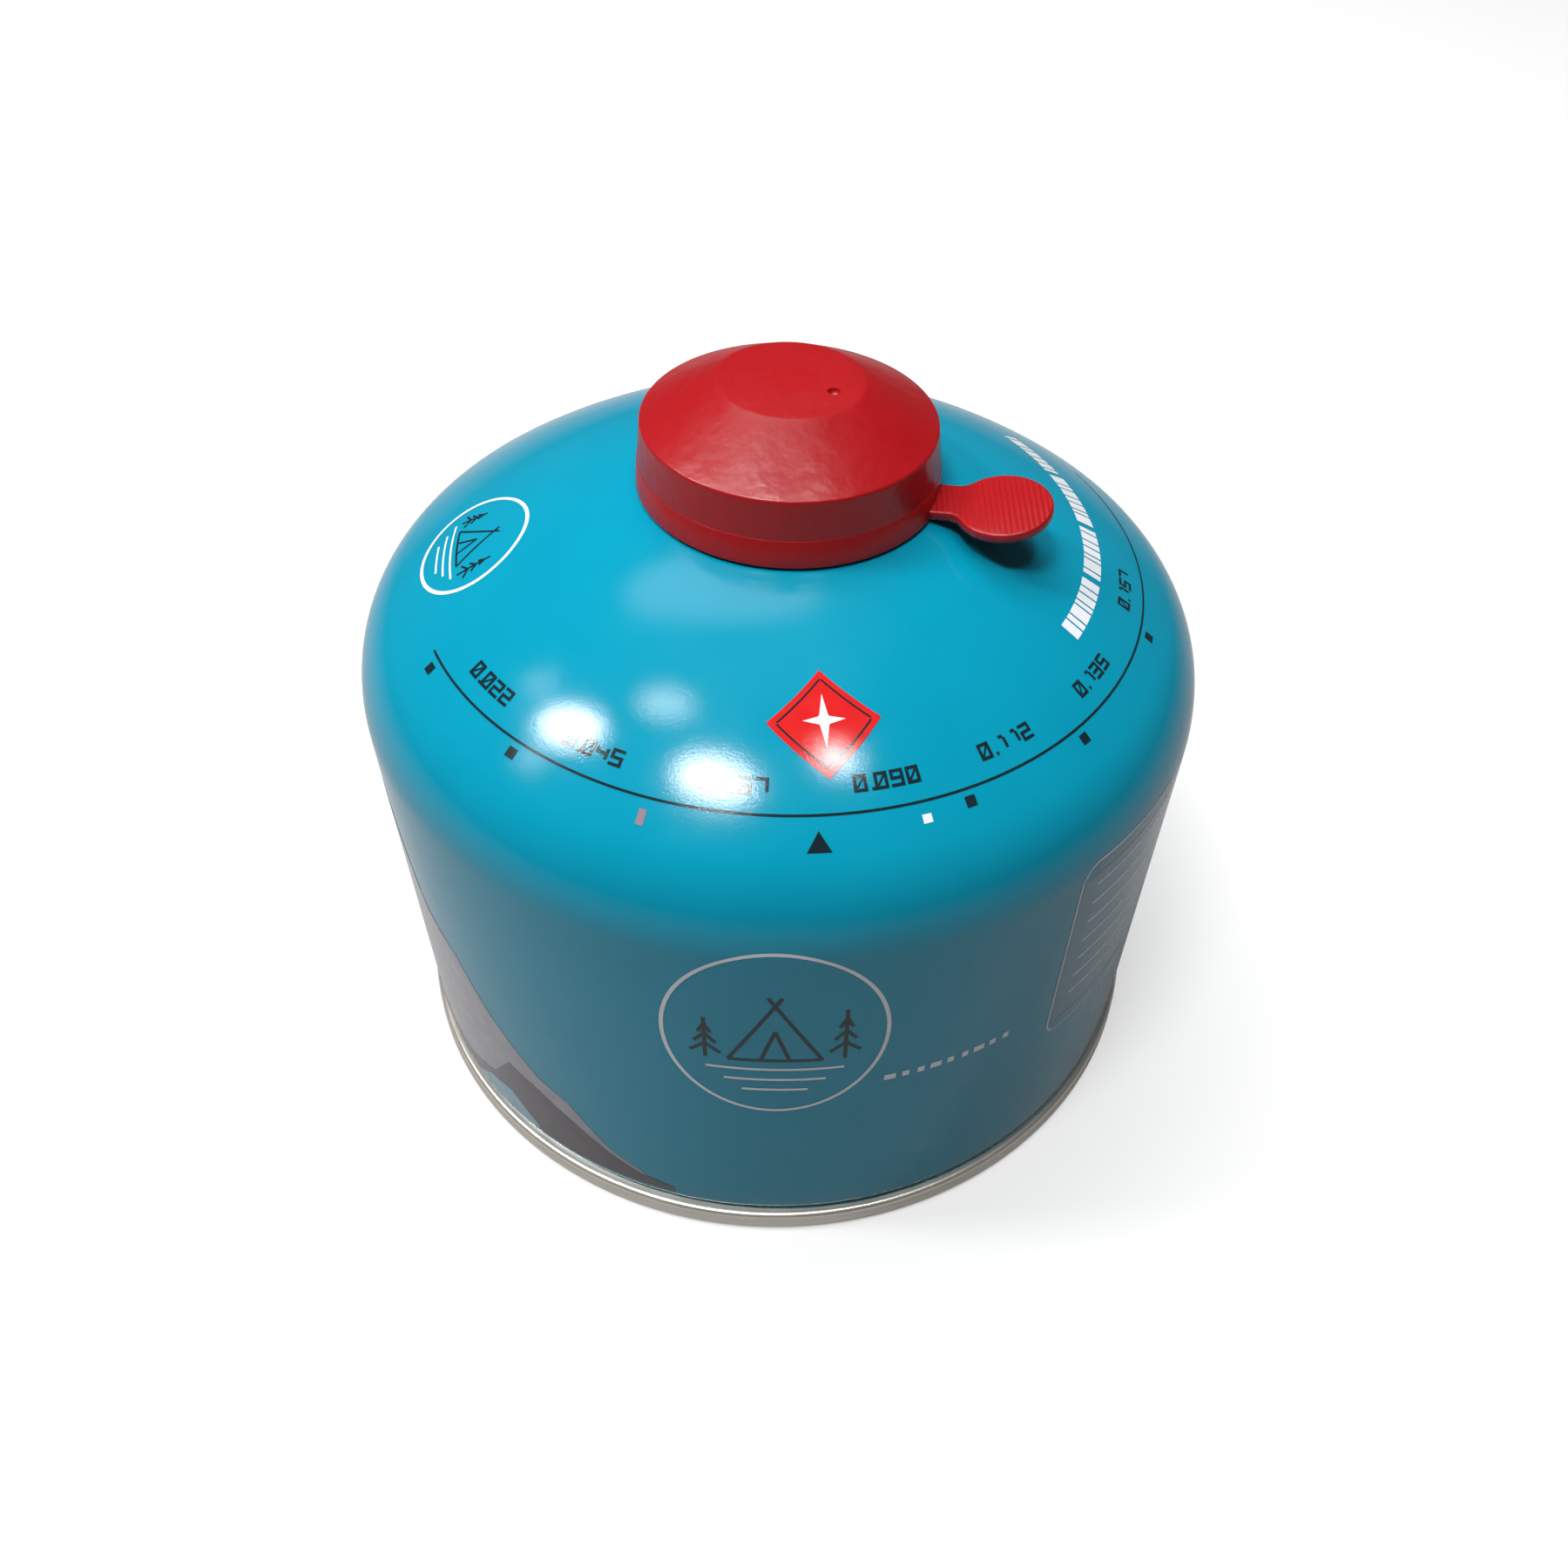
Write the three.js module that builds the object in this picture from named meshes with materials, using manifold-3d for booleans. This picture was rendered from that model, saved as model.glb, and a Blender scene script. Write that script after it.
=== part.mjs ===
// Screw-on camping gas canister of the 230 g size: a drawn steel can with a domed top and a
// seamed base, its self-sealing valve in the middle of the dome, and the plastic cap over it.
// Millimetres, +Z up, origin in the middle of the ring that the can stands on, -Y to the front.
import * as THREE from "three";
import Module from "manifold-3d";
import { mergeVertices } from "three/addons/utils/BufferGeometryUtils.js";

const wasm = await Module();
wasm.setup();

// Clearances
const seatGap = 0.3;
const slideGap = 0.35;

// Can wall and dome
const bodyRadius = 54.2;
const wallTop = 59.3;
const shoulderRadius = 13.8;
const crownRadius = 82.4;

// Double seam at the foot and the necked-in stretch above it
const seamRadius = 55;
const seamHeight = 3.4;
const seamThickness = 3;
const seamEdge = 0.8;
const neckRadius = 53.2;
const neckHeight = 2.2;

// Seamed base plate, dished inwards
const countersinkDepth = 4.4;
const countersinkWidth = 3.2;
const baseRise = 11;

// Rolled bead round the one-inch opening in the dome
const openingRadius = 12.7;
const beadRadius = 1.5;
const beadLift = 0.6;
const beadFillet = 1.4;

// Pressed valve cup, crimped over the bead
const cupSheet = 0.45;
const cupDepth = 5;
const cupHookDrop = 0.9;
const cupCorner = 0.9;

// Threaded nose in the middle of the cup: 7/16 inch, fine thread
const noseRadius = 5.5;
const noseSheet = 0.55;
const noseHeight = 5.5;
const noseEdge = 0.8;
const noseFoot = 0.8;
const mouthRadius = 1.9;

// Valve parts in the nose
const sealThickness = 1.5;
const sealBore = 1.5;
const housingLength = 13.7;
const housingWall = 0.8;
const housingFloor = 0.9;
const inletRadius = 0.7;
const stemHead = 1.6;
const stemPost = 1.1;
const stemPostRise = 0.85;
const stemTail = 1.4;
const stemTailLength = 6.6;
const springWire = 0.3;
const springCoil = 2.9;
const springTurns = 6;

// Cap
const capFootRadius = 18.35;
const capSkirtRadius = 18.05;
const capRimRadius = 17.5;
const capFlatRadius = 8.6;
const capWall = 1.2;
const capWallHeight = 8.1;
const capConeHeight = 4.6;
const capRimEdge = 0.5;
const skirtHeight = 3.2;
const skirtStep = 0.06;
const snapHeight = 1;
const pitRadius = 0.6;
const pitDepth = 0.5;
const pitOffset = 5.4;
const pitAzimuth = 64;

// Pull tab on the cap's foot
const tabAzimuth = 72;
const tabThickness = 1.3;
const tabLift = 0.1;
const tabEdge = 0.3;
const tabRise = 7;
const tabTwist = 5;
const strapWidth = 5.6;
const padRadius = 5.8;
const padReach = 8.1;
const tabFillet = 2.4;

// Fineness of the round surfaces
const canSides = 64;
const valveSides = 36;
const capSides = 60;
const smallSides = 24;

const degrees = Math.PI / 180;

// Points on an arc of the section: centre, radius, first and last angle, and number of steps
function arc(x, z, radius, from, to, steps) {
  const points = [];
  for (let i = 0; i <= steps; i++) {
    const angle = (from + ((to - from) * i) / steps) * degrees;
    points.push([x + radius * Math.cos(angle), z + radius * Math.sin(angle)]);
  }
  return points;
}

// A section given as [radius, height] pairs, turned round the Z axis. A ring closes on itself.
function turned(section, sides, ring = false) {
  const closed = ring ? [...section, section[0]] : section;
  const points = closed.map(([x, z]) => new THREE.Vector2(Math.max(x, 0), z));
  return new THREE.LatheGeometry(points, sides).rotateX(Math.PI / 2);
}

// A flat outline in the plan, raised to a thickness from a height
function raised(shape, bottom, thickness, edge = 0) {
  const options = {
    depth: thickness - 2 * edge,
    bevelEnabled: edge > 0,
    bevelThickness: edge,
    bevelSize: edge,
    bevelOffset: -edge,
    bevelSegments: 1,
    curveSegments: 20,
  };
  return new THREE.ExtrudeGeometry(shape, options).translate(0, 0, bottom + edge);
}

function solidOf(geometry) {
  const bare = geometry.clone();
  bare.deleteAttribute("normal");
  bare.deleteAttribute("uv");
  const merged = mergeVertices(bare, 1e-4);
  const mesh = new wasm.Mesh({
    numProp: 3,
    vertProperties: new Float32Array(merged.attributes.position.array),
    triVerts: new Uint32Array(merged.index.array),
  });
  return new wasm.Manifold(mesh);
}

function geometryOf(solid) {
  const mesh = solid.getMesh();
  const geometry = new THREE.BufferGeometry();
  geometry.setAttribute("position", new THREE.BufferAttribute(mesh.vertProperties, 3));
  geometry.setIndex(new THREE.BufferAttribute(mesh.triVerts, 1));
  geometry.computeVertexNormals();
  return geometry;
}

// Height of the dome's crown at a radius
const shoulderCosine = (bodyRadius - shoulderRadius) / (crownRadius - shoulderRadius);
const shoulderSweep = Math.acos(shoulderCosine) / degrees;
const crownCentre = wallTop - (crownRadius - shoulderRadius) * Math.sin(shoulderSweep * degrees);
const crownHeight = (radius) => crownCentre + Math.sqrt(crownRadius ** 2 - radius ** 2);

// Levels of the bead, the cup and the nose
const beadCentre = openingRadius + beadRadius;
const beadLevel = crownHeight(beadCentre) + beadLift + beadRadius;
const cupOuter = beadRadius + seatGap + cupSheet;
const cupRimRadius = beadCentre + cupOuter;
const cupRimTop = beadLevel + cupOuter;
const cupFloor = cupRimTop - cupDepth;
const cupWallRadius = openingRadius - seatGap;
const noseTop = cupRimTop + noseHeight;
const noseBore = noseRadius - noseSheet;

// Levels of the pieces in the nose
const sealTop = noseTop - noseSheet - seatGap;
const sealBottom = sealTop - sealThickness;
const housingTop = sealBottom - seatGap;
const housingBottom = housingTop - housingLength;
const housingRadius = noseBore - seatGap;
const housingBore = housingRadius - housingWall;
const stemRadius = housingBore - slideGap;
const stemTop = sealBottom - seatGap;
const stemHeadBottom = stemTop - stemHead;

// The sealed can: dished base, double seam, neck, wall, shoulder, crown and rolled bead
function canister() {
  const seamInner = seamRadius - seamThickness;
  const dishEdge = seamInner - countersinkWidth;
  const dishRadius = (dishEdge ** 2 + (baseRise - countersinkDepth) ** 2) / (2 * (baseRise - countersinkDepth));
  const dishSweep = Math.asin(dishEdge / dishRadius) / degrees;
  const neckSweep = (Math.atan2(neckHeight, bodyRadius - neckRadius) / degrees) * 2 - 90;
  const neckCurve = (bodyRadius - neckRadius) / (1 - Math.cos((90 - neckSweep) * degrees)) / 2;
  const neckTop = seamHeight + neckHeight;
  const pocketRadius = housingRadius + slideGap;
  const crownEnd = Math.acos((beadCentre + beadFillet) / crownRadius) / degrees;
  const section = [
    ...arc(0, baseRise - dishRadius, dishRadius, 90, 90 - dishSweep, 5),
    [seamInner - countersinkWidth / 2, countersinkDepth - countersinkWidth / 6],
    [seamInner, countersinkDepth],
    ...arc(seamInner + seamEdge, seamEdge, seamEdge, 180, 270, 2),
    ...arc(seamRadius - seamEdge, seamEdge, seamEdge, 270, 360, 2),
    ...arc(seamRadius - seamEdge, seamHeight - seamEdge, seamEdge, 0, 90, 2),
    [neckRadius, seamHeight],
    ...arc(neckRadius + neckCurve, neckTop - neckHeight, neckCurve, 180, 90 + neckSweep, 2).slice(1),
    ...arc(bodyRadius - neckCurve, neckTop, neckCurve, neckSweep - 90, 0, 2),
    ...arc(bodyRadius - shoulderRadius, wallTop, shoulderRadius, 0, shoulderSweep, 7),
    ...arc(0, crownCentre, crownRadius, shoulderSweep, crownEnd, 6).slice(1),
    [beadCentre, beadLevel - beadRadius - beadLift / 2],
    ...arc(beadCentre, beadLevel, beadRadius, -60, 180, 6),
    [openingRadius, cupFloor - cupSheet - seatGap],
    [pocketRadius, cupFloor - cupSheet - seatGap],
    [pocketRadius, housingBottom - seatGap],
    [0, housingBottom - seatGap],
  ];
  return turned(section, canSides);
}

// Pressed sheet: a hook over the bead, the recess round the nose, and the nose with its mouth
function valveCup() {
  const outside = [
    [cupRimRadius, beadLevel - cupHookDrop],
    ...arc(beadCentre, beadLevel, cupOuter, 0, 90, 3),
    ...arc(cupWallRadius - cupSheet + cupCorner, cupRimTop - cupCorner, cupCorner, 90, 180, 2),
    ...arc(cupWallRadius - cupSheet - cupCorner, cupFloor + cupCorner, cupCorner, 0, -90, 2),
    ...arc(noseRadius + noseFoot, cupFloor + noseFoot, noseFoot, 270, 180, 2),
    ...arc(noseRadius - noseEdge, noseTop - noseEdge, noseEdge, 0, 90, 2),
    [mouthRadius, noseTop],
  ];
  const inside = [
    [mouthRadius, noseTop - noseSheet],
    ...arc(noseBore - noseEdge / 2, noseTop - noseSheet - noseEdge / 2, noseEdge / 2, 90, 0, 2),
    [noseBore, cupFloor - cupSheet],
    [cupWallRadius - cupCorner, cupFloor - cupSheet],
    ...arc(cupWallRadius - cupCorner, cupFloor - cupSheet + cupCorner, cupCorner, -90, 0, 2).slice(1),
    ...arc(beadCentre, beadLevel, cupOuter - cupSheet, 180, 0, 6),
    [cupRimRadius - cupSheet, beadLevel - cupHookDrop],
  ];
  return turned([...outside, ...inside], valveSides, true);
}

// Rubber washer that closes the mouth round the appliance's pin
function stemSeal() {
  const outer = noseBore - seatGap;
  const section = [
    [sealBore, sealBottom],
    [outer, sealBottom],
    [outer, sealTop],
    [sealBore, sealTop],
  ];
  return turned(section, smallSides, true);
}

// Plunger under the seal, pushed down by the appliance's pin
function valveStem() {
  const section = [
    [0, stemHeadBottom - stemTailLength],
    [stemTail, stemHeadBottom - stemTailLength],
    [stemTail, stemHeadBottom],
    [stemRadius, stemHeadBottom],
    [stemRadius, stemTop],
    [stemPost, stemTop],
    [stemPost, stemTop + stemPostRise],
    [0, stemTop + stemPostRise],
  ];
  return turned(section, smallSides);
}

// Moulded sleeve that carries the spring, with the gas inlet in its floor
function valveHousing() {
  const section = [
    [inletRadius, housingBottom],
    [housingRadius, housingBottom],
    [housingRadius, housingTop],
    [housingBore, housingTop],
    [housingBore, housingBottom + housingFloor],
    [inletRadius, housingBottom + housingFloor],
  ];
  return turned(section, smallSides, true);
}

class Helix extends THREE.Curve {
  constructor(radius, bottom, top, turns) {
    super();
    Object.assign(this, { radius, bottom, top, turns });
  }

  getPoint(t, target = new THREE.Vector3()) {
    const angle = 2 * Math.PI * this.turns * t;
    const height = this.bottom + (this.top - this.bottom) * t;
    return target.set(this.radius * Math.cos(angle), this.radius * Math.sin(angle), height);
  }
}

// Return spring between the housing's floor and the plunger's head
function valveSpring() {
  const bottom = housingBottom + housingFloor + seatGap + springWire;
  const top = stemHeadBottom - seatGap - springWire;
  const path = new Helix(springCoil, bottom, top, springTurns);
  const wire = new THREE.Shape().absarc(0, 0, springWire, 0, 2 * Math.PI);
  const options = { steps: springTurns * 12, extrudePath: path, curveSegments: 3 };
  return new THREE.ExtrudeGeometry(wire, options);
}

const capBore = capFootRadius - capWall;
const capFoot = crownHeight(capBore) + seatGap;
const capRim = capFoot + capWallHeight;
const capTop = capRim + capConeHeight;

// Shell of the cap: stepped skirt, tapered wall, cone and flat top, hollow from below
function capShell() {
  const slope = Math.atan2(capConeHeight, capRimRadius - capFlatRadius) / degrees;
  const roofDrop = capWall / Math.cos(slope * degrees);
  const snapRadius = cupRimRadius + seatGap;
  const snapBottom = capFoot + snapHeight / 2;
  const section = [
    [0, capTop - capWall],
    [capFlatRadius, capTop - capWall],
    [capRimRadius - capWall, capRim + capWall * Math.tan(slope * degrees) - roofDrop],
    [capBore, snapBottom + 2 * snapHeight],
    [snapRadius, snapBottom + snapHeight],
    [snapRadius, snapBottom],
    [capBore, capFoot],
    [capFootRadius, crownHeight(capFootRadius) + seatGap],
    [capSkirtRadius, capFoot + skirtHeight],
    [capSkirtRadius - skirtStep, capFoot + skirtHeight + skirtStep],
    ...arc(capRimRadius - capRimEdge, capRim - capRimEdge, capRimEdge, 0, 90 - slope, 3),
    [capFlatRadius, capTop],
    [0, capTop],
  ];
  return turned(section, capSides);
}

// Strap and round pad, drawn along +X, bent up a little and turned to the tab's direction
function pullTab() {
  const half = strapWidth / 2;
  const root = capFootRadius - capWall / 2;
  const padCentre = capFootRadius + padReach;
  const reach = Math.sqrt((padRadius + tabFillet) ** 2 - (half + tabFillet) ** 2);
  const join = Math.asin((half + tabFillet) / (padRadius + tabFillet));
  const shape = new THREE.Shape();
  shape.moveTo(root, -half);
  shape.absarc(padCentre - reach, -half - tabFillet, tabFillet, Math.PI / 2, join, true);
  shape.absarc(padCentre, 0, padRadius, Math.PI + join, Math.PI - join, false);
  shape.absarc(padCentre - reach, half + tabFillet, tabFillet, -join, -Math.PI / 2, true);
  shape.lineTo(root, half);
  return raised(shape, 0, tabThickness, tabEdge)
    .rotateX(tabTwist * degrees)
    .translate(-capFootRadius, 0, 0)
    .rotateY(-tabRise * degrees)
    .translate(capFootRadius, 0, capFoot + tabLift)
    .rotateZ((tabAzimuth - 90) * degrees);
}

// Gate mark of the moulding, a shallow pit beside the middle of the flat top
function gatePit() {
  const depth = 2 * pitDepth;
  const shape = new THREE.Shape().absarc(0, 0, pitRadius, 0, 2 * Math.PI);
  const angle = pitAzimuth * degrees;
  return raised(shape, capTop - pitDepth, depth)
    .translate(pitOffset * Math.sin(angle), -pitOffset * Math.cos(angle), 0);
}

function cap() {
  return geometryOf(solidOf(capShell()).add(solidOf(pullTab())).subtract(solidOf(gatePit())));
}

const paint = new THREE.MeshStandardMaterial({ color: 0x0a8fb0, roughness: 0.35, metalness: 0 });
const tinplate = new THREE.MeshStandardMaterial({ color: 0xb4b3ad, roughness: 0.3, metalness: 1 });
const springSteel = new THREE.MeshStandardMaterial({ color: 0xa8a9ab, roughness: 0.35, metalness: 1 });
const rubber = new THREE.MeshStandardMaterial({ color: 0x1b1b1c, roughness: 0.8, metalness: 0 });
const whitePlastic = new THREE.MeshStandardMaterial({ color: 0xe6e4dc, roughness: 0.5, metalness: 0 });
const redPlastic = new THREE.MeshStandardMaterial({ color: 0xc4161c, roughness: 0.4, metalness: 0 });

const model = new THREE.Group();

function place(name, geometry, material) {
  const mesh = new THREE.Mesh(geometry, material);
  mesh.name = name;
  model.add(mesh);
}

place("canister", canister(), paint);
place("valve_cup", valveCup(), tinplate);
place("stem_seal", stemSeal(), rubber);
place("valve_stem", valveStem(), whitePlastic);
place("valve_spring", valveSpring(), springSteel);
place("valve_housing", valveHousing(), whitePlastic);
place("cap", cap(), redPlastic);

export default model;
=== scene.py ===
import math

import bpy
from mathutils import Matrix, Vector


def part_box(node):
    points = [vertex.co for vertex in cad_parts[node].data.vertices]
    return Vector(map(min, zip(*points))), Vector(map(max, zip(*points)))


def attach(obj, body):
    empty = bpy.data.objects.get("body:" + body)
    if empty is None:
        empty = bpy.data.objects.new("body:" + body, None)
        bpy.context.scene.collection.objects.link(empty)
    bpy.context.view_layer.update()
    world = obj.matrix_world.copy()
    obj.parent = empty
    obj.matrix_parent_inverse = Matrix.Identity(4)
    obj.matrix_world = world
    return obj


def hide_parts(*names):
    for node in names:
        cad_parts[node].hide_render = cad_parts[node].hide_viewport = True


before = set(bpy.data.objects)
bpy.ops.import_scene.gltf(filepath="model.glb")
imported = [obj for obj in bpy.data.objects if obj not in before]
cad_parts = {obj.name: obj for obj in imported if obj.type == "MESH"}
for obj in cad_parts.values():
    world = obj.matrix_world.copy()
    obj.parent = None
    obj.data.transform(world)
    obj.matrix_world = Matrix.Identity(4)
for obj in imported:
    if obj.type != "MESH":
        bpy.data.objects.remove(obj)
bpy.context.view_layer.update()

# Camera
# It stands a little left of the front and looks down at the can, turned slightly, as the
# photograph was taken. The shift puts the can where the cut-out photograph has it.

mm = 0.001

camera_place = Vector((0, -142.287, 176.868)) * mm
camera_pan = math.radians(5.719)
camera_tilt = math.radians(46.675)
camera_roll = math.radians(4.972)

ahead = Vector((
    math.sin(camera_pan) * math.cos(camera_tilt),
    math.cos(camera_pan) * math.cos(camera_tilt),
    -math.sin(camera_tilt),
))
level = Vector((math.cos(camera_pan), -math.sin(camera_pan), 0))
upward = level.cross(ahead)
across = math.cos(camera_roll) * level + math.sin(camera_roll) * upward
upright = math.cos(camera_roll) * upward - math.sin(camera_roll) * level

bpy.ops.object.camera_add(location=camera_place)
camera = bpy.context.object
camera.name = "camera"
camera.rotation_euler = Matrix((across, upright, -ahead)).transposed().to_euler()
camera.data.sensor_width = 36
camera.data.lens = 31.298
camera.data.shift_x = -0.0602
camera.data.shift_y = 0.0198
camera.data.clip_start = 0.005
bpy.context.scene.camera = camera


# Canister
# Drawn steel shell with a domed top, necked in at the foot and double-seamed to a dished base.
# The outside is coated with teal enamel, and the seam, the base and the bead stay bare.

seam_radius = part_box("canister")[1][0]
seam_thickness = 3 * mm
seam_height = 3.4 * mm
seam_edge = 0.8 * mm
seam_foot_round = 0.9 * mm
seam_head_round = 0.75 * mm
seam_groove = 0.14 * mm
seam_groove_height = 1.75 * mm
body_radius = seam_radius - 0.8 * mm
neck_radius = 53.2 * mm
neck_height = 2.2 * mm
wall_top = 59.3 * mm
shoulder_radius = 13.8 * mm
crown_radius = 82.4 * mm
base_rise = 11 * mm
countersink_depth = 4.4 * mm
countersink_width = 3.2 * mm
opening_radius = 12.7 * mm
bead_radius = 1.5 * mm
bead_centre = opening_radius + bead_radius
well_floor = 83.625 * mm
pocket_radius = 5 * mm
pocket_floor = 78.225 * mm

shoulder_sweep = math.degrees(math.acos((body_radius - shoulder_radius) / (crown_radius - shoulder_radius)))
crown_centre = wall_top - (crown_radius - shoulder_radius) * math.sin(math.radians(shoulder_sweep))


def crown_height(radius):
    return crown_centre + math.sqrt(crown_radius ** 2 - radius ** 2)


bead_level = crown_height(bead_centre) + 0.6 * mm + bead_radius


def arc(x, z, radius, start, end, steps):
    """Points of a half section's arc: centre, radius, first and last angle in degrees, and steps."""
    angles = [math.radians(start + (end - start) * i / steps) for i in range(steps + 1)]
    return [(x + radius * math.cos(a), z + radius * math.sin(a)) for a in angles]


def turned(name, section, steps=192, sharp=35):
    """A piece spun from its half section, a list of radius and height from the axis outwards."""
    bpy.ops.object.select_all(action="DESELECT")
    bpy.ops.mesh.primitive_plane_add(size=mm, location=(0, 0, 0))
    piece = bpy.context.object
    piece.name = name
    piece.data.name = name
    bpy.ops.object.mode_set(mode="EDIT")
    bpy.ops.mesh.merge(type="CENTER")
    x, z = section[0]
    bpy.ops.transform.translate(value=(x, 0, z))
    for (x0, z0), (x1, z1) in zip(section, section[1:]):
        bpy.ops.mesh.extrude_region_move(TRANSFORM_OT_translate={"value": (x1 - x0, 0, z1 - z0)})
    bpy.ops.mesh.select_all(action="SELECT")
    bpy.ops.mesh.spin(steps=steps, angle=2 * math.pi, center=(0, 0, 0), axis=(0, 0, 1))
    bpy.ops.mesh.select_all(action="SELECT")
    bpy.ops.mesh.remove_doubles(threshold=2e-6)
    bpy.ops.mesh.normals_make_consistent(inside=False)
    bpy.ops.object.mode_set(mode="OBJECT")
    bpy.ops.object.shade_smooth_by_angle(angle=math.radians(sharp))
    return piece


neck_top = seam_height + neck_height
neck_in = body_radius - neck_radius
neck_sweep = 2 * math.degrees(math.atan2(neck_height, neck_in)) - 90
neck_curve = neck_in / (1 - math.cos(math.radians(90 - neck_sweep))) / 2
seam_inner = seam_radius - seam_thickness
dish_edge = seam_inner - countersink_width
dish_drop = base_rise - countersink_depth
dish_radius = (dish_edge ** 2 + dish_drop ** 2) / (2 * dish_drop)
dish_sweep = math.degrees(math.asin(dish_edge / dish_radius))
crown_end = math.degrees(math.acos((bead_centre + 1.4 * mm) / crown_radius))

can_section = [
    *arc(0, base_rise - dish_radius, dish_radius, 90, 90 - dish_sweep, 16),
    *arc(dish_edge + countersink_width / 2, countersink_depth, countersink_width / 2, 200, 340, 8)[1:-1],
    (seam_inner, countersink_depth),
    *arc(seam_inner + seam_edge, seam_edge, seam_edge, 180, 270, 5),
    *arc(seam_radius - seam_foot_round, seam_foot_round, seam_foot_round, 270, 360, 6),
    (seam_radius, seam_groove_height - 0.4 * mm),
    (seam_radius - seam_groove, seam_groove_height),
    (seam_radius - 0.1 * mm, seam_groove_height + 0.35 * mm),
    *arc(seam_radius - 0.8 * mm, seam_height - seam_head_round, seam_head_round, 0, 90, 8),
    (neck_radius + 0.3 * mm, seam_height - 0.04 * mm),
    (neck_radius + 0.02 * mm, seam_height + 0.12 * mm),
    *arc(neck_radius + neck_curve, seam_height, neck_curve, 166, 90 + neck_sweep, 5),
    *arc(body_radius - neck_curve, neck_top, neck_curve, neck_sweep - 90, 0, 6)[1:],
    *[(body_radius, neck_top + (wall_top - neck_top) * i / 12) for i in range(1, 12)],
    *arc(body_radius - shoulder_radius, wall_top, shoulder_radius, 0, shoulder_sweep, 20),
    *arc(0, crown_centre, crown_radius, shoulder_sweep, crown_end, 26)[1:],
    (bead_centre + 0.5 * mm, crown_height(bead_centre) + 0.15 * mm),
    *arc(bead_centre, bead_level, bead_radius, -60, 180, 14),
    (opening_radius, well_floor),
    (pocket_radius, well_floor),
    (pocket_radius, pocket_floor),
    (0, pocket_floor),
]
canister = turned("canister_shell", can_section)


def material(name):
    """A new material with its nodes, its Principled shader and a place to add nodes."""
    made = bpy.data.materials.new(name)
    made.use_nodes = True
    return made, made.node_tree.nodes, made.node_tree.links, made.node_tree.nodes["Principled BSDF"]


def fine_grain_group():
    """Two sizes of noise over the surface: a height for the bump and a patchy mask."""
    group = bpy.data.node_groups.new("fine_grain", "ShaderNodeTree")
    face = group.interface
    scale = face.new_socket("Scale", in_out="INPUT", socket_type="NodeSocketFloat")
    patches = face.new_socket("Patch Scale", in_out="INPUT", socket_type="NodeSocketFloat")
    scale.default_value = 900
    patches.default_value = 60
    face.new_socket("Height", in_out="OUTPUT", socket_type="NodeSocketFloat")
    face.new_socket("Patches", in_out="OUTPUT", socket_type="NodeSocketFloat")
    nodes, links = group.nodes, group.links
    entry = nodes.new("NodeGroupInput")
    result = nodes.new("NodeGroupOutput")
    place = nodes.new("ShaderNodeTexCoord")
    grain = nodes.new("ShaderNodeTexNoise")
    grain.inputs["Detail"].default_value = 3
    patch = nodes.new("ShaderNodeTexNoise")
    patch.inputs["Detail"].default_value = 2
    links.new(place.outputs["Object"], grain.inputs["Vector"])
    links.new(place.outputs["Object"], patch.inputs["Vector"])
    links.new(entry.outputs["Scale"], grain.inputs["Scale"])
    links.new(entry.outputs["Patch Scale"], patch.inputs["Scale"])
    links.new(grain.outputs["Fac"], result.inputs["Height"])
    links.new(patch.outputs["Fac"], result.inputs["Patches"])
    return group


fine_grain = fine_grain_group()


def add_grain(nodes, links, shader, scale, patch_scale, bump, depth, low, high):
    """Puts the grain on a shader: its bump, and its roughness between two values."""
    grain = nodes.new("ShaderNodeGroup")
    grain.node_tree = fine_grain
    grain.inputs["Scale"].default_value = scale
    grain.inputs["Patch Scale"].default_value = patch_scale
    relief = nodes.new("ShaderNodeBump")
    relief.inputs["Strength"].default_value = bump
    relief.inputs["Distance"].default_value = depth
    links.new(grain.outputs["Height"], relief.inputs["Height"])
    links.new(relief.outputs["Normal"], shader.inputs["Normal"])
    rough = nodes.new("ShaderNodeMapRange")
    rough.inputs["From Min"].default_value = 0.3
    rough.inputs["From Max"].default_value = 0.7
    rough.inputs["To Min"].default_value = low
    rough.inputs["To Max"].default_value = high
    links.new(grain.outputs["Patches"], rough.inputs["Value"])
    links.new(rough.outputs["Result"], shader.inputs["Roughness"])
    return grain.outputs["Patches"]


def mix_colours(nodes, links, mask, first, second):
    """A colour between two, by a mask."""
    mix = nodes.new("ShaderNodeMix")
    mix.data_type = "RGBA"
    mix.inputs["A"].default_value = (*first, 1)
    mix.inputs["B"].default_value = (*second, 1)
    links.new(mask, mix.inputs["Factor"])
    return mix.outputs["Result"]


enamel, nodes, links, shader = material("teal_enamel")
shader.inputs["Specular IOR Level"].default_value = 0.35
patches = add_grain(nodes, links, shader, 4500, 90, 0.045, 0.0002, 0.09, 0.13)
colour = mix_colours(nodes, links, patches, (0.001, 0.27, 0.41), (0.002, 0.3, 0.45))
links.new(colour, shader.inputs["Base Color"])

tinplate, nodes, links, shader = material("tinplate")
shader.inputs["Metallic"].default_value = 0.8
patches = add_grain(nodes, links, shader, 700, 120, 0.02, 0.0002, 0.29, 0.36)
colour = mix_colours(nodes, links, patches, (0.7, 0.65, 0.58), (0.82, 0.77, 0.7))
links.new(colour, shader.inputs["Base Color"])

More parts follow.
